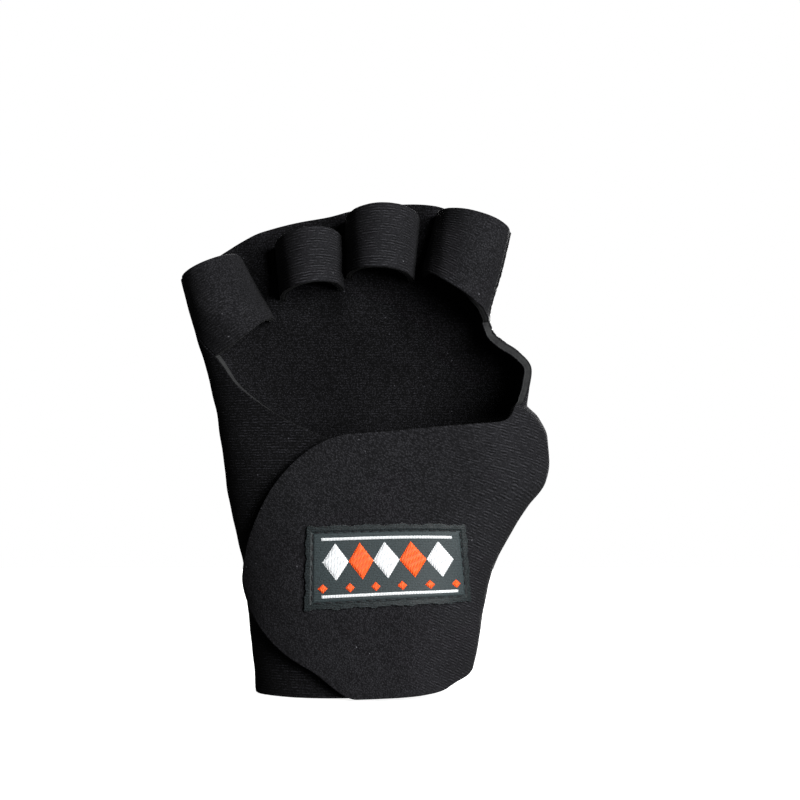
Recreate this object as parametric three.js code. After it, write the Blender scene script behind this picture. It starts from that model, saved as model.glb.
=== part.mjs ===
// Open-backed fitness glove of neoprene for a left hand, in the shape that it has when worn.
// Millimetres. +Z runs from the wrist to the fingers, -Y faces out of the back of the hand and +X is the thumb side.
// The origin is the middle of the wrist opening, level with the lowest hem.
//
// A palm sheet wraps the palm and the little finger's side, and its flap ends on the back of the hand.
// A wide strap is sewn to it along the thumb side, crosses the back of the wrist over the flap, and
// its round end is held there by a hook patch. Four bands arch over the fingers. The thumb opening
// is a gap left in the side seam.
import * as THREE from "three";

const SHEET_WALL = 2.5;
const BAND_WALL = 2.2;
const PATCH_WALL = 0.9;
const LABEL_WALL = 0.7;
const GAP = 0.3;
const STRAP_LIFT = SHEET_WALL + GAP + PATCH_WALL + GAP; // the strap's inner face above the hand, over the flap

// The hand inside the glove, as cross-sections at heights z. ulnar and radial are the x of its two sides,
// dorsal and palmar the y of its back and palm, mid the y of its sides, and square the section's exponent:
// 2 is an ellipse, and more is boxier.
const SPINE_X = 3; // x of the line that all sections turn about
const SECTIONS = [
  { z: 0, ulnar: -30.4, radial: 32.4, dorsal: -20.5, mid: 0, palmar: 20, square: 2.3 },
  { z: 12, ulnar: -31.6, radial: 35.2, dorsal: -20.6, mid: 0, palmar: 20.6, square: 2.35 },
  { z: 24, ulnar: -32.8, radial: 37.2, dorsal: -20.4, mid: 0, palmar: 21.6, square: 2.4 },
  { z: 36, ulnar: -33.9, radial: 39.5, dorsal: -20, mid: 0, palmar: 22.8, square: 2.45 },
  { z: 48, ulnar: -36.2, radial: 44.6, dorsal: -19.5, mid: 0, palmar: 24.2, square: 2.5 },
  { z: 60, ulnar: -38.8, radial: 52, dorsal: -19, mid: 0, palmar: 25.8, square: 2.6 },
  { z: 67, ulnar: -40, radial: 57.1, dorsal: -18.6, mid: 0, palmar: 26.6, square: 2.7 },
  { z: 73, ulnar: -40.8, radial: 58.2, dorsal: -18.3, mid: 0, palmar: 26.8, square: 2.8 },
  { z: 80, ulnar: -41.7, radial: 57.6, dorsal: -17.9, mid: 0, palmar: 26.4, square: 2.9 },
  { z: 85, ulnar: -42.4, radial: 55.2, dorsal: -17.5, mid: 0, palmar: 25.9, square: 2.9 },
  { z: 90, ulnar: -43.2, radial: 51.2, dorsal: -17, mid: 0, palmar: 25, square: 2.8 },
  { z: 96, ulnar: -44.6, radial: 52, dorsal: -16.3, mid: 0, palmar: 23.2, square: 2.7 },
  { z: 102, ulnar: -46.1, radial: 52.7, dorsal: -15.5, mid: 0, palmar: 20.9, square: 2.7 },
  { z: 106, ulnar: -47.3, radial: 49.4, dorsal: -15, mid: 0.1, palmar: 19.2, square: 2.8 },
  { z: 109.5, ulnar: -48.5, radial: 44.3, dorsal: -14.4, mid: 0.2, palmar: 17.8, square: 2.9 },
  { z: 113, ulnar: -49.6, radial: 40.8, dorsal: -13.8, mid: 0.4, palmar: 16.4, square: 3 },
  { z: 118, ulnar: -51.2, radial: 39.4, dorsal: -13, mid: 0.8, palmar: 14.6, square: 3.2 },
  { z: 134, ulnar: -55.4, radial: 43.4, dorsal: -9.5, mid: 2.8, palmar: 13, square: 3.6 },
  { z: 158, ulnar: -61.5, radial: 49.2, dorsal: -5, mid: 6.4, palmar: 15.6, square: 3.8 },
];

// Fleshy mounds and the hollow of the palm: the middle of each, its half-width and half-height, and how far
// it stands out of the section.
const SWELLS = [
  { name: "thumb mound", x: 30, z: 52, wide: 17, tall: 24, rise: 3.2 },
  { name: "outer mound", x: -22, z: 46, wide: 12, tall: 25, rise: 1.6 },
  { name: "palm hollow", x: 2, z: 80, wide: 15, tall: 24, rise: -4.6 },
];

// Where the palm sheet is pulled forward between two fingers: the ridge's x at its foot and at the top edge.
const WEBS = [
  { lowX: -27, lowZ: 120, highX: -33.2, highZ: 140 },
  { lowX: -5, lowZ: 129, highX: -5.1, highZ: 147 },
  { lowX: 18.7, lowZ: 130, highX: 22.6, highZ: 152 },
];
const WEB_RISE = 2;
const WEB_WIDTH = 4.5;
const WEB_START_Z = 112;
const WEB_FULL_Z = 126;

// Turns run round the hand in degrees: 0 back of the hand, 90 thumb side, 180 palm, 270 little finger's side.
const SEAM = [
  { z: 0, turn: 100 },
  { z: 50, turn: 101 },
  { z: 80, turn: 102 },
  { z: 92, turn: 99 },
  { z: 104, turn: 96 },
  { z: 117, turn: 94 },
  { z: 150, turn: 94 },
];
const SEAM_GAP_TURN = 0.9; // about GAP along the surface, where the sheets meet at a seam

// The thumb opening is a gap in the seam: its widest height, its reach down and up from there, and how many
// turns it takes from the sheet at that side of the seam.
const THUMB_FRONT = { z: 86, down: 17.5, up: 17, reach: 14 };
const THUMB_BACK = { z: 80, down: 12, up: 12, reach: 26 };
const THUMB_ROUND = 0.6;

// The palm sheet's hem and finger edge, by share of the way from the seam to its other edge.
const PALM_EDGES = [
  { share: 0, hem: 8.8, top: 146.6 },
  { share: 0.08, hem: 7, top: 147.1 },
  { share: 0.12, hem: 6, top: 148.6 },
  { share: 0.18, hem: 4.7, top: 152.6 },
  { share: 0.24, hem: 3.8, top: 155.3 },
  { share: 0.3, hem: 3.2, top: 156 },
  { share: 0.36, hem: 2.7, top: 155.8 },
  { share: 0.42, hem: 2.3, top: 154.4 },
  { share: 0.48, hem: 1.9, top: 151.9 },
  { share: 0.54, hem: 1.5, top: 150 },
  { share: 0.6, hem: 1, top: 147 },
  { share: 0.64, hem: 0.7, top: 143.7 },
  { share: 0.68, hem: 0.5, top: 140 },
  { share: 0.72, hem: 0.3, top: 136.9 },
  { share: 0.78, hem: 0.1, top: 134.2 },
  { share: 0.86, hem: 0, top: 132.4 },
  { share: 0.94, hem: 0.2, top: 131.7 },
  { share: 1, hem: 1.6, top: 131.4 },
];
// Two turns at which the palm sheet's columns run straight up, and their shares.
const PALM_LINES = [
  { share: 0.16, turn: 142 },
  { share: 0.68, turn: 222 },
];
// The palm sheet's other edge: the flap's end under the strap, the side of the open back, and the little band's seam.
const FLAP_EDGE = [
  { z: 0, turn: 377 },
  { z: 45, turn: 372 },
  { z: 60, turn: 368 },
  { z: 70, turn: 360 },
  { z: 78, turn: 349 },
  { z: 81.5, turn: 340 },
  { z: 83.7, turn: 334 },
  { z: 86.3, turn: 328 },
  { z: 91.5, turn: 318 },
  { z: 97, turn: 309 },
  { z: 102, turn: 304 },
  { z: 106, turn: 300.5 },
  { z: 110, turn: 293.5 },
  { z: 115, turn: 283 },
  { z: 120, turn: 274.5 },
  { z: 124, turn: 271 },
  { z: 132, turn: 270 },
];
const LITTLE_SEAM_LOW_Z = 106.8;
const PALM_ROW_CROWDING = 1.3; // more than 1 brings the sheet's rows closer together at the fingers

// The strap's hem and upper edge by turn, from the seam to where its end starts to round.
const STRAP_EDGES = [
  { turn: -4, low: 6.3, high: 81.2 },
  { turn: 4, low: 4.3, high: 81.7 },
  { turn: 12, low: 2.4, high: 82.4 },
  { turn: 20, low: 1, high: 83.1 },
  { turn: 32, low: 1.9, high: 83.8 },
  { turn: 42, low: 3.2, high: 84.2 },
  { turn: 50, low: 5.2, high: 84.8 },
  { turn: 58, low: 6.2, high: 85.9 },
  { turn: 66, low: 7, high: 88.6 },
  { turn: 73, low: 7.8, high: 91.6 },
  { turn: 80, low: 8.2, high: 94.4 },
  { turn: 87, low: 8.5, high: 97.4 },
  { turn: 93, low: 8.7, high: 101.4 },
  { turn: 97, low: 8.7, high: 107 },
  { turn: 101, low: 8.8, high: 116.4 },
];
const STRAP_ROUND_X = 0; // where the end starts to round
const STRAP_TIP_X = -31.2;
const STRAP_TIP_Z = 39.5;
const STRAP_LINE = { share: 0.66, turn: 66 }; // a column of the strap that runs straight up
const LIFT_START_TURN = 82;
const LIFT_FULL_TURN = 22;

// Each finger's band has a foot on its little-finger side and one on its thumb side. A foot has an x and z at
// the band's lower and upper edge, and how far its Bezier handle reaches forward and up there. A foot with no
// x is on the palm sheet's own side edge.
const BANDS = [
  {
    name: "little_finger_band",
    from: { lowZ: LITTLE_SEAM_LOW_Z, highZ: 131, lowReach: 14, highReach: 18, lowRise: 7.6, highRise: 3 },
    to: { lowX: -29.6, lowZ: 117.8, highX: -40.4, highZ: 137.4, lowReach: 25, highReach: 22, lowRise: 1, highRise: 2 },
  },
  {
    name: "ring_finger_band",
    from: { lowX: -23.9, lowZ: 125, highX: -25.4, highZ: 142, lowReach: 27, highReach: 25, lowRise: 4, highRise: 3.6 },
    to: { lowX: -7.3, lowZ: 128.2, highX: -7.5, highZ: 143.4, lowReach: 27, highReach: 25, lowRise: 4, highRise: 6.6 },
  },
  {
    name: "middle_finger_band",
    from: { lowX: -2.3, lowZ: 132, highX: -2.6, highZ: 150, lowReach: 28, highReach: 25, lowRise: 3.6, highRise: 5 },
    to: { lowX: 15.6, lowZ: 131, highX: 17.4, highZ: 150.4, lowReach: 28, highReach: 25, lowRise: 4, highRise: 5.6 },
  },
  {
    name: "index_finger_band",
    from: { lowX: 22, lowZ: 132.4, highX: 27, highZ: 151.6, lowReach: 25, highReach: 22, lowRise: 3.6, highRise: 3.4 },
    to: { lowZ: 117.4, highZ: 146.4, lowReach: 16, highReach: 18, lowRise: 5.6, highRise: 3.8 },
  },
];
const FOOT_GAP = 0.9; // from a foot's line to the palm sheet, so that its whole end face clears the sheet

// The woven label on the strap, and the hook patch under the strap's end.
const LABEL = { leftX: -14.6, rightX: 31.4, leftZ: 40.2, rightZ: 42.2, leftHalf: 12.8, rightHalf: 12 };
const PATCH = { leftX: -25, rightX: -5, lowZ: 21, highZ: 62 };

/** One column of a table at a value of its key column, on a smooth curve that never overshoots its rows. */
function along(rows, key, column, at) {
  const last = rows.length - 1;
  const secant = (k) => (rows[k + 1][column] - rows[k][column]) / (rows[k + 1][key] - rows[k][key]);
  const slope = (k) => {
    if (k === 0) return secant(0);
    if (k === last) return secant(last - 1);
    const before = secant(k - 1);
    const after = secant(k);
    return before * after > 0 ? (2 * before * after) / (before + after) : 0;
  };
  const held = THREE.MathUtils.clamp(at, rows[0][key], rows[last][key]);
  let i = 0;
  while (i < last - 1 && held > rows[i + 1][key]) i += 1;
  const width = rows[i + 1][key] - rows[i][key];
  const t = (held - rows[i][key]) / width;
  const rise = rows[i + 1][column] - rows[i][column];
  const bend = (1 - t) * slope(i) * width - t * slope(i + 1) * width - (1 - 2 * t) * rise;
  return rows[i][column] + t * rise + t * (1 - t) * bend;
}

function sectionAt(z) {
  const at = (column) => along(SECTIONS, "z", column, z);
  return {
    ulnar: at("ulnar"),
    radial: at("radial"),
    dorsal: at("dorsal"),
    mid: at("mid"),
    palmar: at("palmar"),
    square: at("square"),
  };
}

/** How far the palm stands out at x and z beyond its plain section: the mounds, the hollow and the web ridges. */
function relief(x, z) {
  const bell = (away, width) => Math.exp(-((away / width) ** 2));
  const swell = SWELLS.reduce((sum, s) => sum + s.rise * bell(x - s.x, s.wide) * bell(z - s.z, s.tall), 0);
  const onset = THREE.MathUtils.smoothstep(z, WEB_START_Z, WEB_FULL_Z);
  const ridge = WEBS.reduce((sum, w) => {
    const lean = (w.highX - w.lowX) / (w.highZ - w.lowZ);
    return sum + bell(x - w.lowX - lean * (z - w.lowZ), WEB_WIDTH);
  }, 0);
  return swell - WEB_RISE * onset * ridge;
}

/** A point of the hand's surface, which is the inner face of the neoprene. */
function handPoint(turn, z) {
  const s = sectionAt(z);
  const angle = THREE.MathUtils.degToRad(turn);
  const sin = Math.sin(angle);
  const cos = Math.cos(angle);
  const reach = (Math.abs(sin) ** s.square + Math.abs(cos) ** s.square) ** (-1 / s.square);
  const halfWidth = sin > 0 ? s.radial - SPINE_X : SPINE_X - s.ulnar;
  const halfDepth = cos > 0 ? s.mid - s.dorsal : s.palmar - s.mid;
  const x = SPINE_X + halfWidth * sin * reach;
  const palmShare = THREE.MathUtils.smoothstep(-cos * reach, 0.2, 0.9);
  const y = s.mid - halfDepth * cos * reach + palmShare * relief(x, z);
  return new THREE.Vector3(x, y, z);
}

/** The turn at which the back of the hand, or its palm, has a given x at height z. */
function turnAtX(x, z, palm = false) {
  const s = sectionAt(z);
  const halfWidth = x > SPINE_X ? s.radial - SPINE_X : SPINE_X - s.ulnar;
  const share = THREE.MathUtils.clamp(Math.abs(x - SPINE_X) / halfWidth, 1e-4, 0.999);
  const tangent = (share ** -s.square - 1) ** (-1 / s.square);
  const turn = Math.sign(x - SPINE_X) * THREE.MathUtils.radToDeg(Math.atan(tangent));
  return palm ? 180 - turn : turn;
}

/** A point at a distance outside a surface that is a function of two parameters. */
function outside(surface, a, b, distance) {
  const step = 0.02;
  const across = surface(a + step, b).sub(surface(a - step, b));
  const up = surface(a, b + step).sub(surface(a, b - step));
  return surface(a, b).addScaledVector(across.cross(up).normalize(), distance);
}

/** A closed wall between two faces. face(u, v, outer) has u and v from 0 to 1, u running as turns do. */
function wall(columns, rows, face) {
  const points = [];
  for (const outer of [false, true]) {
    for (let j = 0; j <= rows; j += 1) {
      for (let i = 0; i <= columns; i += 1) points.push(face(i / columns, j / rows, outer));
    }
  }
  const at = (i, j, outer) => (outer ? (columns + 1) * (rows + 1) : 0) + j * (columns + 1) + i;
  const index = [];
  const quad = (a, b, c, d) => index.push(a, b, c, a, c, d);
  for (let j = 0; j < rows; j += 1) {
    for (let i = 0; i < columns; i += 1) {
      quad(at(i, j, true), at(i + 1, j, true), at(i + 1, j + 1, true), at(i, j + 1, true));
      quad(at(i, j, false), at(i, j + 1, false), at(i + 1, j + 1, false), at(i + 1, j, false));
    }
  }
  for (let i = 0; i < columns; i += 1) {
    quad(at(i, 0, false), at(i + 1, 0, false), at(i + 1, 0, true), at(i, 0, true));
    quad(at(i + 1, rows, false), at(i, rows, false), at(i, rows, true), at(i + 1, rows, true));
  }
  for (let j = 0; j < rows; j += 1) {
    quad(at(0, j + 1, false), at(0, j, false), at(0, j, true), at(0, j + 1, true));
    quad(at(columns, j, false), at(columns, j + 1, false), at(columns, j + 1, true), at(columns, j, true));
  }
  const geometry = new THREE.BufferGeometry().setFromPoints(points);
  geometry.setIndex(index);
  geometry.computeVertexNormals();
  return geometry;
}

/** How far, in turns, the thumb opening has eaten into a sheet's seam edge at height z. */
function thumbNotch(z, notch) {
  const away = (z - notch.z) / (z > notch.z ? notch.up : notch.down);
  return Math.abs(away) < 1 ? notch.reach * (1 - away * away) ** THUMB_ROUND : 0;
}

function seamTurn(z) {
  return along(SEAM, "z", "turn", z);
}

/** The turn of a column of the palm sheet: its middle columns run straight, and the outer ones meet its edges. */
function palmTurn(u, z) {
  const [first, second] = PALM_LINES;
  if (u < first.share) {
    const seam = seamTurn(z) + SEAM_GAP_TURN / 2 + thumbNotch(z, THUMB_BACK);
    return THREE.MathUtils.lerp(seam, first.turn, u / first.share);
  }
  if (u < second.share) {
    return THREE.MathUtils.mapLinear(u, first.share, second.share, first.turn, second.turn);
  }
  return THREE.MathUtils.mapLinear(u, second.share, 1, second.turn, along(FLAP_EDGE, "z", "turn", z));
}

/** The palm sheet, which fills the girth from the seam to the flap's edge. */
function palmSheet() {
  return wall(50, 22, (u, v, outer) => {
    const hem = along(PALM_EDGES, "share", "hem", u);
    const top = along(PALM_EDGES, "share", "top", u);
    const z = top - (top - hem) * (1 - v) ** PALM_ROW_CROWDING;
    return outside(handPoint, palmTurn(u, z), z, outer ? SHEET_WALL : 0);
  });
}

/** The strap's inner face: on the hand at the thumb side, and lifted over the flap and the hook patch beyond. */
function strapPoint(turn, z) {
  const lift = STRAP_LIFT * (1 - THREE.MathUtils.smoothstep(turn, LIFT_FULL_TURN, LIFT_START_TURN));
  return outside(handPoint, turn, z, lift);
}

/** Turn and height of the strap's sheet: u from its round end to the seam, v from its hem to its upper edge. */
function strapPattern(u, v) {
  const roundShare = 0.36;
  const across = 2 * v - 1;
  const start = STRAP_EDGES[0];
  if (u < roundShare) {
    // A square is drawn into a half disc, so that the end is round and its cells stay even.
    const along = 1 - u / roundShare;
    const x = STRAP_ROUND_X + (STRAP_TIP_X - STRAP_ROUND_X) * along * Math.sqrt(1 - across ** 2 / 2);
    const up = across * Math.sqrt(1 - along ** 2 / 2);
    const z = STRAP_TIP_Z + up * (up > 0 ? start.high - STRAP_TIP_Z : STRAP_TIP_Z - start.low);
    return [turnAtX(x, z), z];
  }
  const share = 1 - (1 - (u - roundShare) / (1 - roundShare)) ** 1.5;
  const nominal = start.turn + share * (STRAP_EDGES.at(-1).turn - start.turn);
  const low = along(STRAP_EDGES, "turn", "low", nominal);
  const high = along(STRAP_EDGES, "turn", "high", nominal);
  const middle = STRAP_TIP_Z + share * ((low + high) / 2 - STRAP_TIP_Z);
  const z = across > 0 ? middle + across * (high - middle) : middle + across * (middle - low);
  if (share < STRAP_LINE.share) {
    const rounding = turnAtX(STRAP_ROUND_X, z);
    return [THREE.MathUtils.lerp(rounding, STRAP_LINE.turn, share / STRAP_LINE.share), z];
  }
  const seam = seamTurn(z) - SEAM_GAP_TURN / 2 - thumbNotch(z, THUMB_FRONT);
  return [THREE.MathUtils.mapLinear(share, STRAP_LINE.share, 1, STRAP_LINE.turn, seam), z];
}

function strapSheet() {
  return wall(34, 16, (u, v, outer) => {
    const [turn, z] = strapPattern(u, v);
    return outside(strapPoint, turn, z, outer ? SHEET_WALL : 0);
  });
}

/** A foot of a band, on the palm sheet's inner face or on the sheet's own edge, at a share of the band's width. */
function bandFoot(foot, v, toThumb) {
  const z = THREE.MathUtils.lerp(foot.lowZ, foot.highZ, v);
  if (foot.lowX === undefined) {
    const flapTurn = along(FLAP_EDGE, "z", "turn", z - GAP) + SEAM_GAP_TURN;
    const turn = toThumb ? seamTurn(z) - SEAM_GAP_TURN / 2 : flapTurn;
    const step = toThumb ? -1 : 1;
    const forward = handPoint(turn + step, z).sub(handPoint(turn, z)).normalize();
    return { point: handPoint(turn, z), forward };
  }
  const x = THREE.MathUtils.lerp(foot.lowX, foot.highX, v);
  const point = handPoint(turnAtX(x, z, true), z);
  point.y -= FOOT_GAP;
  return { point, forward: new THREE.Vector3(0, -1, 0) };
}

/** A finger band: a Bezier arch from foot to foot for each height of the band. */
function fingerBand(band) {
  const arch = (t, v) => {
    const handle = (foot, end) => {
      const reach = THREE.MathUtils.lerp(foot.lowReach, foot.highReach, v);
      const raised = end.point.clone().addScaledVector(end.forward, reach);
      raised.z += THREE.MathUtils.lerp(foot.lowRise, foot.highRise, v);
      return raised;
    };
    const from = bandFoot(band.from, v, false);
    const to = bandFoot(band.to, v, true);
    return new THREE.CubicBezierCurve3(from.point, handle(band.from, from), handle(band.to, to), to.point).getPoint(t);
  };
  return wall(14, 6, (u, v, outer) => {
    const surface = (a, b) => arch(THREE.MathUtils.clamp(a, 0, 1), b);
    const step = 1e-3;
    const t = THREE.MathUtils.clamp(u, step, 1 - step);
    const across = surface(t + step, v).sub(surface(t - step, v));
    const up = surface(u, v + step).sub(surface(u, v - step));
    return surface(u, v).addScaledVector(across.cross(up).normalize(), outer ? BAND_WALL : 0);
  });
}

/** The hook patch, between the flap's outer face and the strap's inner face. */
function hookPatch() {
  return wall(6, 8, (u, v, outer) => {
    const z = THREE.MathUtils.lerp(PATCH.lowZ, PATCH.highZ, v);
    const turn = turnAtX(THREE.MathUtils.lerp(PATCH.leftX, PATCH.rightX, u), z);
    return outside(handPoint, turn, z, SHEET_WALL + GAP + (outer ? PATCH_WALL : 0));
  });
}

/** The label, which follows the strap's outer face. */
function labelPlate() {
  return wall(14, 5, (u, v, outer) => {
    const half = THREE.MathUtils.lerp(LABEL.leftHalf, LABEL.rightHalf, u);
    const z = THREE.MathUtils.lerp(LABEL.leftZ, LABEL.rightZ, u) + (2 * v - 1) * half;
    const left = turnAtX(LABEL.leftX, z);
    const turn = left + u * (turnAtX(LABEL.rightX, z) - left);
    return outside(strapPoint, turn, z, SHEET_WALL + GAP + (outer ? LABEL_WALL : 0));
  });
}

const neoprene = new THREE.MeshStandardMaterial({ color: 0x1b1b1d, roughness: 0.95, metalness: 0 });
const hook = new THREE.MeshStandardMaterial({ color: 0x141415, roughness: 0.8, metalness: 0 });
const satin = new THREE.MeshStandardMaterial({ color: 0x363c3e, roughness: 0.6, metalness: 0 });

const glove = new THREE.Group();

function add(name, geometry, material) {
  const mesh = new THREE.Mesh(geometry, material);
  mesh.name = name;
  glove.add(mesh);
}

add("palm_sheet", palmSheet(), neoprene);
add("wrist_strap", strapSheet(), neoprene);
for (const band of BANDS) add(band.name, fingerBand(band), neoprene);
add("hook_patch", hookPatch(), hook);
add("woven_label", labelPlate(), satin);

export default glove;
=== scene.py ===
"""Looks of an open-backed neoprene fitness glove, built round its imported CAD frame.

Tables are in millimetres and the meshes in metres, in the CAD frame: +Z runs from the wrist to the
fingers, -Y faces out of the back of the hand and +X is the thumb side. Turns run round the hand in
degrees: 0 back of the hand, 90 thumb side, 180 palm, 270 little finger's side.
"""

import logging
import math
from dataclasses import dataclass
from enum import Enum
from functools import partial
from typing import Callable

import bpy
import numpy as np
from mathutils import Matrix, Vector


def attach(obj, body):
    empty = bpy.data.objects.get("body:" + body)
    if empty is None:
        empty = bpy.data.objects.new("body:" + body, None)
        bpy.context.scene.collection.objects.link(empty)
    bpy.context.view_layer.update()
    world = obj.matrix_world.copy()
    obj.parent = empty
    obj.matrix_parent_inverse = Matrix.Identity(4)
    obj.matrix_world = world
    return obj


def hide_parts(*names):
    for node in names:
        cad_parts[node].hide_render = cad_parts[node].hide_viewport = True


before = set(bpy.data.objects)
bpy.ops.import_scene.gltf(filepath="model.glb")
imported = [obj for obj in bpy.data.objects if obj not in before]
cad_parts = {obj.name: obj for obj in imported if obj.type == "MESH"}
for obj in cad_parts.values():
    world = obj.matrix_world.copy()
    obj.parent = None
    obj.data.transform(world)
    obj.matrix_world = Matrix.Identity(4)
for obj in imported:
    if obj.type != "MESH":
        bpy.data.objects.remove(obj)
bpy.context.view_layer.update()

Array = np.ndarray
Numbers = Array | float
Rows = tuple[tuple[float, ...], ...]
Pair = tuple[float, float]
Place = tuple[float, float, float]
Surface = Callable[[Array, Array], Array]
Material = bpy.types.Material
Piece = bpy.types.Object
Tree = bpy.types.NodeTree
Socket = bpy.types.NodeSocket
Inputs = dict | tuple
Adder = Callable[..., Socket]

MM = 0.001
BODY = "root"
SHEET_WALL = 2.5
BAND_WALL = 2.2
PATCH_WALL = 0.9
GAP = 0.3
STRAP_LIFT = SHEET_WALL + GAP + PATCH_WALL + GAP
SEAM_GAP_TURN = 0.9
RIB_PITCH = 0.84

log = logging.getLogger("glove")


# Curves and cloth


def smooth_step(at: Array, low: float, high: float) -> Array:
    """Goes from 0 to 1 between low and high, level at both: 3t^2 - 2t^3 of the clipped share t."""
    share = np.clip((at - low) / (high - low), 0, 1)
    return share * share * (3 - 2 * share)


def lerp(low: Numbers, high: Numbers, share: Numbers) -> Array:
    """A straight blend from low to high."""
    return low + (high - low) * share


def unit(vectors: Array) -> Array:
    """Vectors (..., 3) at length 1."""
    return vectors / np.linalg.norm(vectors, axis=-1, keepdims=True)


@dataclass(frozen=True)
class Curve:
    """A smooth curve through rows of (key, value, ...) that never overshoots them."""

    rows: Rows
    column: int = 1

    def __call__(self, at: Numbers) -> Array:
        """Monotone cubic: slopes are harmonic means of the secants, and 0 where those turn round.

        Args:
            at: keys, held to the table's ends.

        Returns:
            The column's values there.
        """
        table = np.array(self.rows, float)
        keys, values = table[:, 0], table[:, self.column]
        secants = np.diff(values) / np.diff(keys)
        before, after = secants[:-1], secants[1:]
        same_way = before * after > 0
        mean = 2 * before * after / np.where(same_way, before + after, 1)
        slopes = np.concatenate([secants[:1], np.where(same_way, mean, 0), secants[-1:]])
        held = np.clip(at, keys[0], keys[-1])
        i = np.clip(np.searchsorted(keys, held) - 1, 0, len(keys) - 2)
        width = keys[i + 1] - keys[i]
        rise = values[i + 1] - values[i]
        t = (held - keys[i]) / width
        bend = (1 - t) * slopes[i] * width - t * slopes[i + 1] * width - (1 - 2 * t) * rise
        return values[i] + t * rise + t * (1 - t) * bend


def facing(surface: Surface, a: Array, b: Array, step: float = 0.02) -> Array:
    """Unit normals of a surface: the cross product of its differences along its two parameters.

    Args:
        surface: gives points (..., 3) for two parameter arrays.
        a, b: the parameters.
        step: the difference's half width.

    Returns:
        Unit vectors (..., 3).
    """
    across = surface(a + step, b) - surface(a - step, b)
    up = surface(a, b + step) - surface(a, b - step)
    return unit(np.cross(across, up))


def outside(surface: Surface, a: Array, b: Array, distance: Numbers) -> Array:
    """Points at a distance outside a surface of two parameters."""
    return surface(a, b) + facing(surface, a, b) * np.asarray(distance)[..., None]


def crowded(count: int, share: float = 0.55) -> Array:
    """Shares from 0 to 1 whose steps shrink near both ends, by a blend of even and cosine spacing."""
    even = np.linspace(0, 1, count)
    return lerp(even, (1 - np.cos(math.pi * even)) / 2, share)


def arc_along(points: Array, axis: int) -> Array:
    """Length along one axis of a grid of points, starting at 0."""
    steps = np.linalg.norm(np.diff(points, axis=axis), axis=-1)
    return np.insert(np.cumsum(steps, axis=axis), 0, 0, axis=axis)


@dataclass
class MeshData:
    """Points in mm, faces of any size with a finish each, and each point's lie.

    The lie is the place on the cloth in mm, along and across the ribs, and how far stretch opens them,
    0 to 1.
    """

    points: Array
    faces: list[Array]
    slots: list[Array]
    lie: Array

    def area(self) -> float:
        """Surface area: half the cross product of each quad's diagonals.

        Returns:
            Square metres.
        """
        total = 0.0
        for faces in self.faces:
            if faces.shape[1] == 4:
                corners = self.points[faces]
                cross = np.cross(corners[:, 2] - corners[:, 0], corners[:, 3] - corners[:, 1])
                total += np.linalg.norm(cross, axis=1).sum() / 2
        return total * MM * MM

    def as_object(self, name: str, finishes: list[Material]) -> Piece:
        """Puts the arrays into a mesh object at the origin.

        Args:
            name: the piece's name.
            finishes: one material for each slot number.

        Returns:
            The linked object, smooth shaded, with its UV map in mm.
        """
        mesh = bpy.data.meshes.new(name)
        corners = np.concatenate([faces.ravel() for faces in self.faces])
        sizes = np.concatenate([np.full(len(faces), faces.shape[1]) for faces in self.faces])
        starts = np.concatenate([[0], np.cumsum(sizes)[:-1]])
        mesh.vertices.add(len(self.points))
        mesh.vertices.foreach_set("co", (self.points * MM).astype(np.float32).ravel())
        mesh.loops.add(len(corners))
        mesh.loops.foreach_set("vertex_index", corners.astype(np.int32))
        mesh.polygons.add(len(sizes))
        mesh.polygons.foreach_set("loop_start", starts.astype(np.int32))
        mesh.polygons.foreach_set("material_index", np.concatenate(self.slots).astype(np.int32))
        mesh.update(calc_edges=True)
        uv = mesh.uv_layers.new(name="cloth")
        uv.data.foreach_set("uv", self.lie[corners, :2].astype(np.float32).ravel())
        stretch = mesh.attributes.new("stretch", "FLOAT", "POINT")
        stretch.data.foreach_set("value", self.lie[:, 2].astype(np.float32))
        mesh.polygons.foreach_set("use_smooth", np.ones(len(sizes), bool))
        for finish in finishes:
            mesh.materials.append(finish)
        mesh.validate()
        piece = bpy.data.objects.new(name, mesh)
        bpy.context.scene.collection.objects.link(piece)
        return piece


def joined(meshes: list[MeshData]) -> MeshData:
    """Several meshes as one, in their order.

    Args:
        meshes: the meshes.

    Returns:
        The one mesh.
    """
    firsts = np.cumsum([0] + [len(mesh.points) for mesh in meshes])
    return MeshData(
        np.concatenate([mesh.points for mesh in meshes]),
        [faces + first for mesh, first in zip(meshes, firsts) for faces in mesh.faces],
        [slots for mesh in meshes for slots in mesh.slots],
        np.concatenate([mesh.lie for mesh in meshes]),
    )


class Layer(Enum):
    """Finish slots of a piece of cloth."""

    FACE = 0
    CORE = 1


@dataclass(frozen=True)
class CutEdge:
    """The section of a cut edge, from the outer face round to the inner one."""

    corner: float = 0.3
    sink: float = 0.07
    crown: float = 0.05
    core_rows: int = 6
    corner_rows: int = 3

    def section(self) -> tuple[Array, Array, Array]:
        """Quarter rounds of cloth at both faces, and between them the core, sunk at its sides and crowned.

        Returns:
            Three arrays, one row for each loop: share of the wall's height, mm added to that height,
            and mm outwards.
        """
        angle = np.linspace(0, math.pi / 2, self.corner_rows + 1)
        drop = self.corner * (1 - np.cos(angle))
        out = self.corner * np.sin(angle)
        share = np.linspace(1, 0, self.core_rows)
        crown = self.corner - self.sink + (self.sink + self.crown) * (1 - (2 * share - 1) ** 2)
        heights = np.concatenate([np.ones(len(angle)), share, np.zeros(len(angle))])
        added = np.concatenate([-drop, lerp(self.corner, -self.corner, share) * 1.12, drop[::-1]])
        return heights, added, np.concatenate([out, crown, out[::-1]])


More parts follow.
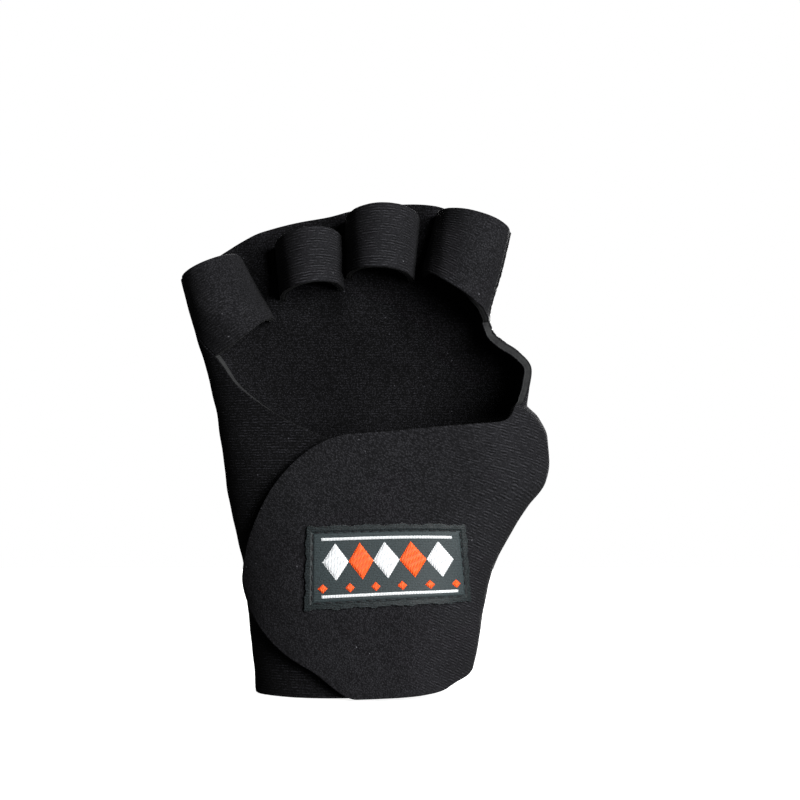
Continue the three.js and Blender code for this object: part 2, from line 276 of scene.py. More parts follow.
def rim_of(rows: int, columns: int) -> tuple[Array, Array]:
    """A grid's rim, anticlockwise as seen from outside.

    Args:
        rows, columns: the grid's size.

    Returns:
        The rows and the columns of its places.
    """
    r, c = rows - 1, columns - 1
    row = np.concatenate([np.zeros(c), np.arange(r), np.full(c, r), np.arange(r, 0, -1)])
    column = np.concatenate([np.arange(c), np.full(r, c), np.arange(c, 0, -1), np.zeros(r)])
    return row.astype(int), column.astype(int)


def grid_quads(rows: int, columns: int, first: int) -> Array:
    """Quads of a grid, facing the viewer when u is right and v is up.

    Args:
        rows, columns: the grid's size.
        first: the index of its first point.

    Returns:
        Four indices a row.
    """
    index = first + np.arange(rows * columns).reshape(rows, columns)
    corners = (index[:-1, :-1], index[:-1, 1:], index[1:, 1:], index[1:, :-1])
    return np.stack([corner.ravel() for corner in corners], axis=1)


def closed_wall(inner: Array, normal: Array, wall: Numbers, lie: Array, edge: CutEdge) -> MeshData:
    """A closed wall of cloth: an inner and an outer grid, joined round the rim by the cut edge's section.

    Each rim loop is the inner rim, plus its normal times a height, plus the mitred outward direction
    times a distance. That direction is the cross product of the rim's run and the normal.

    Args:
        inner: the inner face's points (rows, columns, 3).
        normal: unit vectors out of the inner face.
        wall: thickness, one number or one for each point.
        lie: each point's place on the cloth in mm, and its stretch (rows, columns, 3).
        edge: the section of the cut edge.

    Returns:
        The mesh, with cloth faces in slot FACE and the cut core in slot CORE.
    """
    rows, columns = inner.shape[:2]
    thickness = np.broadcast_to(np.asarray(wall, float), (rows, columns))
    outer = inner + normal * thickness[..., None]
    row, column = rim_of(rows, columns)
    rim, up, rim_wall = inner[row, column], normal[row, column], thickness[row, column]
    side = unit(np.cross(np.roll(rim, -1, axis=0) - rim, up))
    before = np.roll(side, 1, axis=0)
    spread = np.clip(1 + (side * before).sum(axis=1, keepdims=True), 0.5, 2)
    mitre = (side + before) / spread

    share, added, out = edge.section()
    height = share[:, None] * rim_wall + added[:, None]
    loops = rim + up * height[..., None] + mitre * out[:, None, None]
    count = rows * columns
    around = len(row)
    points = np.concatenate([outer.reshape(-1, 3), inner.reshape(-1, 3), loops[1:-1].reshape(-1, 3)])
    place = row * columns + column
    between = 2 * count + np.arange((len(share) - 2) * around).reshape(-1, around)
    index = np.concatenate([place[None], between, place[None] + count])
    ahead = np.roll(index, -1, axis=1)
    strip = np.stack([index[:-1], index[1:], ahead[1:], ahead[:-1]], axis=-1).reshape(-1, 4)
    core = np.zeros(len(share) - 1, int)
    core[edge.corner_rows : len(share) - 1 - edge.corner_rows] = Layer.CORE.value
    faces = np.concatenate([grid_quads(rows, columns, 0), grid_quads(rows, columns, count)[:, ::-1], strip])
    slots = np.concatenate([np.zeros(len(faces) - len(strip), int), np.repeat(core, around)])
    flat = lie.reshape(-1, 3)
    rim_lie = np.tile(flat[place], (len(share) - 2, 1))
    return MeshData(points, [faces], [slots], np.concatenate([flat, flat, rim_lie]))


def thread_stitches(starts: Array, ends: Array, up: Array, radius: float, bow: float) -> MeshData:
    """Short stitches that rise out of the cloth and dive back in.

    Each is a tube round an arc: the chord from start to end plus up times the bow times 1 - (2t - 1)^2.
    Its radius follows the fourth root of the same, so that both ends close round.

    Args:
        starts, ends: the two needle holes of each stitch (count, 3).
        up: the cloth's normal at each stitch (count, 3).
        radius: the thread's radius.
        bow: the height of the arc.

    Returns:
        One closed mesh for each stitch, joined.
    """
    along, sides = 8, 7
    t = (1 - np.cos(np.linspace(0.06, 0.94, along) * math.pi)) / 2
    hump = 1 - (2 * t - 1) ** 2
    chord = ends - starts
    centre = starts[:, None] + chord[:, None] * t[:, None] + up[:, None] * (bow * hump)[:, None]
    run = unit(np.gradient(centre, axis=1))
    across = unit(np.cross(run, up[:, None]))
    lift = np.cross(across, run)
    angle = np.linspace(0, 2 * math.pi, sides, endpoint=False)
    ring = across[:, :, None] * np.cos(angle)[:, None] + lift[:, :, None] * np.sin(angle)[:, None]
    points = centre[:, :, None] + ring * (radius * hump**0.25)[:, None, None]
    index = np.arange(points[..., 0].size).reshape(points.shape[:3])
    ahead = np.roll(index, -1, axis=2)
    quads = np.stack([index[:, :-1], ahead[:, :-1], ahead[:, 1:], index[:, 1:]], axis=-1).reshape(-1, 4)
    caps = np.concatenate([index[:, 0, ::-1], index[:, -1]])
    length = t[None, :, None] * np.linalg.norm(chord, axis=1)[:, None, None]
    lie = np.stack(np.broadcast_arrays(length, angle * radius, 0.0), axis=-1).reshape(-1, 3)
    slots = [np.zeros(len(quads), int), np.zeros(len(caps), int)]
    return MeshData(points.reshape(-1, 3), [quads, caps], slots, lie)


# Finishes


def linear(sheet_colour: str) -> tuple[float, float, float, float]:
    """A colour as linear light, by the sRGB curve.

    Args:
        sheet_colour: sRGB in the form #rrggbb.

    Returns:
        Red, green, blue and an alpha of 1.
    """
    parts = [int(sheet_colour[i : i + 2], 16) / 255 for i in (1, 3, 5)]
    light = [c / 12.92 if c <= 0.04045 else ((c + 0.055) / 1.055) ** 2.4 for c in parts]
    return (*light, 1.0)


def add_node(
    tree: Tree, kind: str, sockets: Inputs = (), out: int | str = 0, **settings: object
) -> Socket | None:
    """Adds a node with its settings, values and links.

    Args:
        tree: the material's tree.
        kind: the node's type name.
        sockets: a value for each input, or the output socket that it is linked to. They are given by
            name or number, or in the order of the node's inputs.
        out: the output to hand back, by name or number.
        settings: the node's own properties.

    Returns:
        That output, or None where the node has none.
    """
    node = tree.nodes.new(kind)
    for name, value in settings.items():
        setattr(node, name, value)
    given = sockets if isinstance(sockets, dict) else dict(enumerate(sockets))
    for name, value in given.items():
        if isinstance(value, Socket):
            tree.links.new(value, node.inputs[name])
        else:
            node.inputs[name].default_value = value
    return node.outputs[out] if node.outputs else None


def painted(ramp_colour: Socket, *stops: tuple[float, str]) -> Socket:
    """Sets the stops of the colour ramp that an output belongs to, given as (place, sRGB hex).

    Args:
        ramp_colour: the ramp's colour output.
        stops: places from 0 to 1 and their colours.

    Returns:
        The same output.
    """
    ramp = ramp_colour.node.color_ramp
    while len(ramp.elements) < len(stops):
        ramp.elements.new(1.0)
    for element, (place, colour) in zip(ramp.elements, stops):
        element.position = place
        element.color = linear(colour)
    return ramp_colour


WAVE_MM = 2 * math.pi / 20  # Blender's bands repeat every 2 pi / 20 of a unit at scale 1


@dataclass(frozen=True)
class Finish:
    """A material that one Principled shader makes, with the inputs that each kind of finish gives it."""

    name: str

    def surface(self, add: Adder) -> dict:
        """The shader's inputs, worked out with added nodes by each kind of finish."""
        raise NotImplementedError

    def make(self) -> Material:
        """Builds the material: the finish's shader, wired to the output.

        Returns:
            The material.
        """
        material = bpy.data.materials.new(self.name)
        material.use_nodes = True
        material.node_tree.nodes.clear()
        add = partial(add_node, material.node_tree)
        shader = add("ShaderNodeBsdfPrincipled", self.surface(add))
        add("ShaderNodeOutputMaterial", {"Surface": shader})
        return material


@dataclass(frozen=True)
class NylonJersey(Finish):
    """Knitted nylon jersey bonded to the foam, dyed black.

    It is dull and nearly without gloss. At rest it shows as a grain of small loops, and where the hand
    stretches it the rows open into fine broken ribs. A few specks of lint cling to it. The real loops are
    about 0.4 mm, and are drawn 0.46 mm apart so that they show.
    """

    dark: str = "#09090a"
    mid: str = "#18181a"
    pale: str = "#303033"
    lint: str = "#56565a"
    rib_pitch: float = RIB_PITCH
    loop_pitch: float = 0.46
    dash: float = 1.9
    grain_per_mm: float = 3.1
    patches_per_mm: float = 0.07
    lint_per_mm: float = 0.36
    lint_above: float = 0.74
    depth: float = 0.00011

    def surface(self, add: Adder) -> dict:
        """Works on the piece's own UV map, which is in mm, and its stretch attribute.

        Loops and broken ribs are mixed by the stretch and give the relief and the tone. Wide patches
        and specks of lint then vary the tone.

        Args:
            add: adds a node to the material's tree.

        Returns:
            The shader's inputs.
        """
        place = add("ShaderNodeUVMap", uv_map="cloth")
        stretch = add("ShaderNodeAttribute", out="Fac", attribute_name="stretch")
        waves = {"Vector": place, "Scale": WAVE_MM / self.rib_pitch, "Distortion": 2.6}
        waves |= {"Detail": 2.0, "Detail Scale": 2.0}
        ribs = add("ShaderNodeTexWave", waves, "Fac", wave_type="BANDS", bands_direction="Y")
        pull = (1 / self.dash, 0.5 / self.rib_pitch, 1)
        drawn = add("ShaderNodeMapping", {"Vector": place, "Scale": pull})
        dashes = add("ShaderNodeTexNoise", {"Vector": drawn, "Scale": 1.0, "Detail": 1.0})
        broken = add("ShaderNodeMapRange", (dashes, 0.42, 0.6, 0.0, 1.0))
        rows = add("ShaderNodeMix", {0: broken, 2: 0.5, 3: ribs})
        knitted = {"Vector": place, "Scale": 1 / self.loop_pitch}
        loops = add("ShaderNodeTexVoronoi", knitted, feature="F1")
        beads = add("ShaderNodeMapRange", (loops, 0.08, 0.72, 0.95, 0.05))
        knit = add("ShaderNodeMix", {0: stretch, 2: beads, 3: rows})
        grain = add("ShaderNodeTexNoise", {"Vector": place, "Scale": self.grain_per_mm, "Detail": 1.0})
        fuzz = add("ShaderNodeMath", (stretch, -0.25, 0.5), operation="MULTIPLY_ADD")
        height = add("ShaderNodeMix", {0: fuzz, 2: knit, 3: grain})
        opened = add("ShaderNodeMath", (stretch, 0.6, 0.7), operation="MULTIPLY_ADD")
        relief = {"Strength": opened, "Distance": self.depth, "Height": height}
        ramp = add("ShaderNodeValToRGB", (height,))
        cloth = painted(ramp, (0.18, self.dark), (0.47, self.mid), (0.8, self.pale))
        patchy = {"Vector": place, "Scale": self.patches_per_mm, "Detail": 2.0}
        patches = add("ShaderNodeTexNoise", patchy)
        worn = add("ShaderNodeMapRange", (patches, 0.35, 0.65, 0.9, 1.1))
        shade = add("ShaderNodeVectorMath", {0: cloth, "Scale": worn}, operation="SCALE")
        strewn = {"Vector": place, "Scale": self.lint_per_mm}
        away = add("ShaderNodeTexVoronoi", strewn, "Distance", feature="F1")
        near = add("ShaderNodeMapRange", (away, 0.05, 0.11, 1.0, 0.0))
        chance = away.node.outputs["Color"]
        rare = add("ShaderNodeMath", (chance, self.lint_above), operation="GREATER_THAN")
        speck = add("ShaderNodeMath", (near, rare), operation="MULTIPLY")
        tones = {0: speck, 6: shade, 7: linear(self.lint)}
        return {
            "Base Color": add("ShaderNodeMix", tones, 2, data_type="RGBA"),
            "Roughness": 0.95,
            "Specular IOR Level": 0.06,
            "Sheen Weight": 0.01,
            "Sheen Roughness": 0.5,
            "Normal": add("ShaderNodeBump", relief),
        }


@dataclass(frozen=True)
class ChloropreneFoam(Finish):
    """Closed-cell chloroprene foam where it was die-cut: mid grey, matt, with fine open cells.

    The real cells are 0.1 to 0.25 mm, and are drawn about 0.4 mm apart so that they show.
    """

    name: str = "cut_foam"
    dark: str = "#1f1f20"
    pale: str = "#303131"
    cells_per_m: float = 2600.0
    smears_per_m: float = 420.0
    depth: float = 0.00008

    def surface(self, add: Adder) -> dict:
        """Mixes cells and wider smears on Object coordinates, for the relief and the tone.

        Args:
            add: adds a node to the material's tree.

        Returns:
            The shader's inputs.
        """
        where = add("ShaderNodeTexCoord", out="Object")
        cells, smears = (
            add("ShaderNodeTexNoise", {"Vector": where, "Scale": scale, "Detail": 2.0})
            for scale in (self.cells_per_m, self.smears_per_m)
        )
        mixed = add("ShaderNodeMix", {0: 0.5, 2: cells, 3: smears})
        ramp = add("ShaderNodeValToRGB", (mixed,))
        relief = {"Strength": 0.8, "Distance": self.depth, "Height": mixed}
        return {
            "Base Color": painted(ramp, (0.36, self.dark), (0.66, self.pale)),
            "Roughness": 0.9,
            "Specular IOR Level": 0.15,
            "Normal": add("ShaderNodeBump", relief),
        }


@dataclass(frozen=True)
class WovenYarn(Finish):
    """Lustrous filament yarn laid close together, as in a woven satin ground or an embroidered fill.

    The yarns show as fine parallel ridges with a silky light along them. Real ones are 0.2 to 0.3 mm, and
    are drawn at the pitch given.
    """

    dark: str
    pale: str
    pitch: float = 0.42
    lie_turn: float = 0.0
    depth: float = 0.00008
    sheen: float = 0.1
    gloss: float = 0.4
    fluff: float = 0.4
    weave_and_shade_border_tone: float = -0.19

    def surface(self, add: Adder) -> dict:
        """Works on the piece's own UV map, in mm; its stretch darkens a border: its own weave plus painted
        shade.

        Args:
            add: adds a node to the material's tree.

        Returns:
            The shader's inputs.
        """
        uv = add("ShaderNodeUVMap", uv_map="cloth")
        turned = {"Vector": uv, "Rotation": (0, 0, math.radians(self.lie_turn))}
        place = add("ShaderNodeMapping", turned)
        waves = {"Vector": place, "Scale": WAVE_MM / self.pitch, "Distortion": 0.9}
        waves |= {"Detail": 2.0, "Detail Scale": 1.5}
        yarns = add("ShaderNodeTexWave", waves, "Fac", wave_type="BANDS", bands_direction="X")
        hairs = {"Vector": place, "Scale": 2.4, "Detail": 3.0, "Roughness": 0.6}
        fibre = add("ShaderNodeTexNoise", hairs)
        mixed = add("ShaderNodeMix", {0: self.fluff, 2: yarns, 3: fibre})
        border = add("ShaderNodeAttribute", out="Fac", attribute_name="stretch")
        # The darker border is partly the border's own weave and partly painted shade along the label's
        # edge.
        tone = add("ShaderNodeMath", (border, self.weave_and_shade_border_tone, mixed), operation="MULTIPLY_ADD")
        ramp = add("ShaderNodeValToRGB", (tone,))
        relief = {"Strength": 1.0, "Distance": self.depth, "Height": mixed}
        return {
            "Base Color": painted(ramp, (0.22, self.dark), (0.62, self.pale)),
            "Roughness": 0.55,
            "Specular IOR Level": self.gloss,
            "Sheen Weight": self.sheen,
            "Sheen Roughness": 0.4,
            "Normal": add("ShaderNodeBump", relief),
        }


@dataclass(frozen=True)
class StudioPaper(Finish):
    """Matt white backdrop paper with its own even light: plain, with no pattern."""

    colour: str
    glow: float

    def surface(self, add: Adder) -> dict:
        """A plain colour and a white glow."""
        plain = {"Base Color": linear(self.colour), "Roughness": 1.0, "Specular IOR Level": 0.0}
        return plain | {"Emission Color": (1, 1, 1, 1), "Emission Strength": self.glow}


# The hand's form


@dataclass(frozen=True)
class HandForm:
    """The hand inside the glove, as cross-sections at heights z.

    sections: z, x of the two sides, y of the back, y of the sides, y of the palm, and the exponent,
        where 2 is an ellipse and more is boxier.
    swells: x, z, half-width, half-height and rise of each mound or hollow of the palm.
    webs: x and z at the foot and at the top of each ridge between two fingers.
    """

    spine_x: float = 3.0
    web_rise: float = 2.0
    web_width: float = 4.5
    web_from: float = 112.0
    web_to: float = 126.0
    sections: Rows = (
        (0, -30.4, 32.4, -20.5, 0, 20, 2.3),
        (12, -31.6, 35.2, -20.6, 0, 20.6, 2.35),
        (24, -32.8, 37.2, -20.4, 0, 21.6, 2.4),
        (36, -33.9, 39.5, -20, 0, 22.8, 2.45),
        (48, -36.2, 44.6, -19.5, 0, 24.2, 2.5),
        (60, -38.8, 52, -19, 0, 25.8, 2.6),
        (67, -40, 57.1, -18.6, 0, 26.6, 2.7),
        (73, -40.8, 58.2, -18.3, 0, 26.8, 2.8),
        (80, -41.7, 57.6, -17.9, 0, 26.4, 2.9),
        (85, -42.4, 55.2, -17.5, 0, 25.9, 2.9),
        (90, -43.2, 51.2, -17, 0, 25, 2.8),
        (96, -44.6, 52, -16.3, 0, 23.2, 2.7),
        (102, -46.1, 52.7, -15.5, 0, 20.9, 2.7),
        (106, -47.3, 49.4, -15, 0.1, 19.2, 2.8),
        (109.5, -48.5, 44.3, -14.4, 0.2, 17.8, 2.9),
        (113, -49.6, 40.8, -13.8, 0.4, 16.4, 3),
        (118, -51.2, 39.4, -13, 0.8, 14.6, 3.2),
        (134, -55.4, 43.4, -9.5, 2.8, 13, 3.6),
        (158, -61.5, 49.2, -5, 6.4, 15.6, 3.8),
    )
    swells: Rows = ((30, 52, 17, 24, 3.2), (-22, 46, 12, 25, 1.6), (2, 80, 15, 24, -4.6))
    webs: Rows = ((-27, 120, -33.2, 140), (-5, 129, -5.1, 147), (18.7, 130, 22.6, 152))

    def column(self, number: int, z: Array) -> Array:
        """One column of the sections at heights z."""
        return Curve(self.sections, number)(z)

    def web_x(self, web: tuple[float, ...], z: Array) -> Array:
        """The x of a web's ridge at heights z, on a straight line."""
        low_x, low_z, high_x, high_z = web
        return low_x + (high_x - low_x) / (high_z - low_z) * (z - low_z)

    def relief(self, x: Array, z: Array) -> Array:
        """How far the palm stands out of its section: Gaussian mounds, less Gaussian web ridges.

        Args:
            x, z: places on the palm.

        Returns:
            Millimetres outwards.
        """
        total = np.zeros(np.broadcast(x, z).shape)
        for at_x, at_z, wide, tall, rise in self.swells:
            total = total + rise * np.exp(-(((x - at_x) / wide) ** 2) - ((z - at_z) / tall) ** 2)
        onset = self.web_rise * smooth_step(z, self.web_from, self.web_to)
        for web in self.webs:
            total = total - onset * np.exp(-(((x - self.web_x(web, z)) / self.web_width) ** 2))
        return total

    def point(self, turn: Array, z: Array) -> Array:
        """The neoprene's inner face: superellipse sections, with the relief added on the palm's side.

        Args:
            turn: degrees round the hand.
            z: heights.

        Returns:
            Points (..., 3).
        """
        turn, z = np.broadcast_arrays(np.asarray(turn, float), np.asarray(z, float))
        ulnar, radial, dorsal, mid, palmar, square = (self.column(i, z) for i in range(1, 7))
        sin, cos = np.sin(np.radians(turn)), np.cos(np.radians(turn))
        reach = (np.abs(sin) ** square + np.abs(cos) ** square) ** (-1 / square)
        half_width = np.where(sin > 0, radial - self.spine_x, self.spine_x - ulnar)
        half_depth = np.where(cos > 0, mid - dorsal, palmar - mid)
        x = self.spine_x + half_width * sin * reach
        share = smooth_step(-cos * reach, 0.2, 0.9)
        y = mid - half_depth * cos * reach + share * self.relief(x, z)
        return np.stack([x, y, z], axis=-1)

    def turn_at_x(self, x: Numbers, z: Array, palm: bool = False) -> Array:
        """The turn at which the back of the hand, or its palm, has a given x.

        Args:
            x, z: the place seen from the front.
            palm: whether it is on the palm's side.

        Returns:
            Degrees round the hand.
        """
        ulnar, radial, square = self.column(1, z), self.column(2, z), self.column(6, z)
        half_width = np.where(x > self.spine_x, radial - self.spine_x, self.spine_x - ulnar)
        share = np.clip(np.abs(x - self.spine_x) / half_width, 1e-4, 0.999)
        tangent = (share**-square - 1) ** (-1 / square)
        turn = np.sign(x - self.spine_x) * np.degrees(np.arctan(tangent))
        return 180 - turn if palm else turn


HAND = HandForm()
SEAM = Curve(((0, 100), (50, 101), (80, 102), (92, 99), (104, 96), (117, 94), (150, 94)))
FLAP_EDGE = Curve((
    (0, 377), (45, 372), (60, 368), (70, 360), (78, 349), (81.5, 340), (83.7, 334), (86.3, 328),
    (91.5, 318), (97, 309), (102, 304), (106, 300.5), (110, 293.5), (115, 283), (120, 274.5),
    (124, 271), (132, 270),
))


@dataclass(frozen=True)
class ThumbNotch:
    """How far, in turns, the thumb opening has eaten into a sheet's seam edge: a rounded half oval."""

    z: float
    down: float
    up: float
    reach: float
    roundness: float = 0.6

    def __call__(self, z: Array) -> Array:
        """The reach times (1 - a^2) to the roundness, where a is the share of the way up or down."""
        away = (z - self.z) / np.where(z > self.z, self.up, self.down)
        return self.reach * np.clip(1 - away * away, 0, 1) ** self.roundness


THUMB_FRONT = ThumbNotch(86, 17.5, 17, 14)
THUMB_BACK = ThumbNotch(80, 12, 8.4, 26)


# Sub-assemblies


def undulation(lie: Array, waves: Rows) -> Array:
    """Soft unevenness of hand-worn cloth: a sum of slanted sines.

    Args:
        lie: places on the cloth in mm.
        waves: height, wavelength, direction in degrees and phase of each.

    Returns:
        Millimetres outwards.
    """
    total = np.zeros(lie.shape[:-1])
    for height, length, direction, phase in waves:
        angle = math.radians(direction)
        along = lie[..., 0] * math.cos(angle) + lie[..., 1] * math.sin(angle)
        total = total + height * np.sin(2 * math.pi * along / length + phase)
    return total


@dataclass(frozen=True)
class Declared:
    """What a sheet of cloth was cut to, in metres, and how it is held."""

    flat: Pair
    area: float
    held: str = "stretched"
    rests_on: tuple[str, ...] = ()

    def tell(self, piece: Piece, **more: object) -> None:
        """Args:
            piece: the sheet; not used.
            more: what else there is to say of it.
        """
        if self.rests_on:
            more["rests_on"] = self.rests_on


def place_piece(
    data: MeshData, name: str, finishes: list[Material], node: str = ""
) -> Piece:
    """Makes a piece's object, rides it on the body and reports it.

    Args:
        data: its mesh.
        name: its name.
        finishes: its materials by slot number.
        node: the CAD node that it stands for, if any.

    Returns:
        The object.
    """
    piece = data.as_object(name, finishes)
    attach(piece, BODY)
    if node:
        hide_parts(node)
    count = sum(len(faces) * (faces.shape[1] - 2) for faces in data.faces)
    log.info("%s: %d triangles, %.6f m2 a side", name, count, data.area() / 2)
    return piece


@dataclass
class PalmSheet:
    """The sheet that wraps the palm and the little finger's side, and ends in a flap under the strap."""

    columns: int = 230
    rows: int = 120
    crowding: float = 1.3
    lines: Rows = ((0.16, 142), (0.68, 222))
    edges: Rows = (
        (0, 8.8, 146.6), (0.08, 7, 147.1), (0.12, 6, 148.6), (0.18, 4.7, 152.6), (0.24, 3.8, 155.3),
        (0.3, 3.2, 156), (0.36, 2.7, 155.8), (0.42, 2.3, 154.4), (0.48, 1.9, 151.9), (0.54, 1.5, 150),
        (0.6, 1, 147), (0.64, 0.7, 143.7), (0.68, 0.5, 140), (0.72, 0.3, 136.9), (0.78, 0.1, 134.2),
        (0.86, 0, 132.4), (0.94, 0.2, 131.7), (1, 1.6, 131.4),
    )
    stretch: Pair = (0.3, 0.25)
    stretch_turns: Pair = (225, 270)
    waves: Rows = ((0.1, 23, 35, 0.4), (0.07, 14, 112, 1.9), (0.05, 9, 70, 4.1))
    declared: Declared = Declared((0.235, 0.15), 0.0218)

    def turn(self, u: Array, z: Array) -> Array:
        """The turn of a column: the middle columns run straight up, and the outer ones meet the edges.

        Args:
            u: share of the way from the seam to the flap's edge.
            z: heights.

        Returns:
            Degrees round the hand.
        """
        (first, first_turn), (second, second_turn) = self.lines
        seam = SEAM(z) + SEAM_GAP_TURN / 2 + THUMB_BACK(z)
        near = lerp(seam, first_turn, u / first)
        middle = lerp(first_turn, second_turn, (u - first) / (second - first))
        far = lerp(second_turn, FLAP_EDGE(z), (u - second) / (1 - second))
        return np.where(u < first, near, np.where(u < second, middle, far))

    def mesh(self) -> MeshData:
        """The sheet between its hem and its finger edge, with rows crowded towards the fingers.

        Returns:
            The closed wall.
        """
        u, v = np.meshgrid(crowded(self.columns), crowded(self.rows))
        hem, top = Curve(self.edges, 1)(u), Curve(self.edges, 2)(u)
        z = top - (top - hem) * (1 - v) ** self.crowding
        turn = self.turn(u, z)
        inner = HAND.point(turn, z)
        length = arc_along(inner, 1)
        base, gain = self.stretch
        stretch = base + gain * smooth_step(turn, *self.stretch_turns)
        lie = np.stack([length - length[:, [self.columns // 2]], z, stretch], axis=-1)
        normal = facing(HAND.point, turn, z)
        soft = undulation(lie, self.waves)[..., None]
        return closed_wall(inner + normal * soft, normal, SHEET_WALL, lie, CutEdge())

    def build(self, jersey: Material, foam: Material) -> None:
        piece = place_piece(self.mesh(), "palm_cloth", [jersey, foam], node="palm_sheet")
        self.declared.tell(piece)


@dataclass
class WristStrap:
    """The wide strap: sewn on at the thumb side, over the back of the wrist, to its round end."""

    columns: int = 190
    rows: int = 120
    seam_crowding: float = 1.5
    round_share: float = 0.36
    round_x: float = 0.0
    round_low: float = 6.3
    round_from: float = 0.46
    tip_x: float = -31.2
    tip_z: float = 39.5
    line: Pair = (0.66, 66)
    lift_start: float = 82.0
    lift_full: float = 22.0
    edges: Rows = (
        (-4, 0.35, 81.2), (4, 0.5, 81.7), (12, 0.7, 82.4), (20, 1, 83.1), (32, 1.9, 83.8),
        (42, 3.2, 84.2), (46, 4.3, 85.1), (50, 5.2, 86.4), (54, 5.7, 87.9), (58, 6.2, 89.3),
        (62, 6.6, 90.5), (66, 7, 91.8), (73, 7.8, 94.3), (80, 8.2, 97), (87, 8.5, 100.4),
        (93, 8.7, 104), (97, 8.7, 108.2), (101, 8.8, 116.4),
    )
    stretch: Pair = (0.1, 0.62)
    stretch_turns: Pair = (8, 46)
    pull: tuple[Pair, Pair] = ((77, 4), (82, 9))
    girth_radius: float = 42.0
    rib_fall: Rows = ((-60, 24), (10, 24), (30, 17), (45, 11), (60, 5), (75, 0), (100, 0))
    waves: Rows = ((0.12, 31, 20, 0.9), (0.08, 17, 100, 2.2), (0.04, 8, 55, 0.3))
    declared: Declared = Declared((0.115, 0.085), 0.0073)

    def inner_point(self, turn: Array, z: Array) -> Array:
        """The inner face: on the hand at the thumb side, lifted over the flap and hook tape beyond."""
        lift = STRAP_LIFT * (1 - smooth_step(turn, self.lift_full, self.lift_start))
        return outside(HAND.point, turn, z, lift)

    def pattern(self, u: Array, v: Array) -> tuple[Array, Array]:
        """Turn and height of the sheet.

        The round end draws a square into a half disc: x shrinks with the root of 1 - across^2 / 2, and
        height with the root of 1 - along^2 / 2. Its lower edge then dips to the hem. Beyond it the
        columns run to the seam.

        Args:
            u: from the round end to the seam.
            v: from the hem to the upper edge.

        Returns:
            Degrees round the hand and heights.
        """
        across = 2 * v - 1
        start_low, start_high = self.edges[0][1], self.edges[0][2]
        along = np.clip(1 - u / self.round_share, 0, 1)
        reach = along * np.sqrt(1 - across**2 / 2)
        round_x = lerp(self.round_x, self.tip_x, reach)
        up = across * np.sqrt(1 - along**2 / 2)
        round_low = lerp(start_low, self.round_low, smooth_step(reach, 0, self.round_from))
        round_z = self.tip_z + up * np.where(up > 0, start_high - self.tip_z, self.tip_z - round_low)

        strip_u = np.clip((u - self.round_share) / (1 - self.round_share), 0, 1)
        share = 1 - (1 - strip_u) ** self.seam_crowding
        nominal = lerp(self.edges[0][0], self.edges[-1][0], share)
        low, high = Curve(self.edges, 1)(nominal), Curve(self.edges, 2)(nominal)
        middle = lerp(self.tip_z, (low + high) / 2, share)
        strip_z = middle + across * np.where(across > 0, high - middle, middle - low)
        line_share, line_turn = self.line
        rounding = HAND.turn_at_x(self.round_x, strip_z)
        before = lerp(rounding, line_turn, share / line_share)
        seam = SEAM(strip_z) - SEAM_GAP_TURN / 2 - THUMB_FRONT(strip_z)
        after = lerp(line_turn, seam, (share - line_share) / (1 - line_share))
        strip_turn = np.where(share < line_share, before, after)
        is_round = u < self.round_share
        turn = np.where(is_round, HAND.turn_at_x(round_x, round_z), strip_turn)
        return turn, np.where(is_round, round_z, strip_z)

    def lie_of(self, turn: Array, z: Array) -> Array:
        """The strap's place on the cloth, whose ribs fall towards the thumb and level out near the seam.

        Across the ribs it is z plus the slope's integral over the girth. Ribs open towards the thumb,
        and most of all at the pull: a Gaussian round a turn and a height, each with its width.

        Args:
            turn, z: places on the strap.

        Returns:
            The lie (..., 3).
        """
        girth = np.radians(turn) * self.girth_radius
        grid = np.linspace(self.rib_fall[0][0], self.rib_fall[-1][0], 400)
        fall = np.tan(np.radians(Curve(self.rib_fall)(grid)))
        across = np.interp(girth, grid, np.cumsum(fall) * (grid[1] - grid[0]))
        base, gain = self.stretch
        stretch = base + gain * smooth_step(turn, *self.stretch_turns)
        (at_turn, wide), (at_z, tall) = self.pull
        pull = np.exp(-(((turn - at_turn) / wide) ** 2) - ((z - at_z) / tall) ** 2)
        return np.stack([girth, z + across, stretch + pull], axis=-1)

    def mesh(self) -> MeshData:
        """The sheet from its round end to the seam.

        Returns:
            The closed wall.
        """
        u, v = np.meshgrid(crowded(self.columns), crowded(self.rows))
        turn, z = self.pattern(u, v)
        inner = self.inner_point(turn, z)
        lie = self.lie_of(turn, z)
        normal = facing(self.inner_point, turn, z)
        soft = undulation(lie, self.waves)[..., None]
        return closed_wall(inner + normal * soft, normal, SHEET_WALL, lie, CutEdge())

    def build(self, jersey: Material, foam: Material) -> None:
        piece = place_piece(self.mesh(), "strap_cloth", [jersey, foam], node="wrist_strap")
        self.declared.tell(piece)


class FootPlace(Enum):
    """What a finger band's foot is sewn to."""

    PALM = "palm"
    LITTLE_SEAM = "little finger's side seam"
    THUMB_SEAM = "thumb side seam"


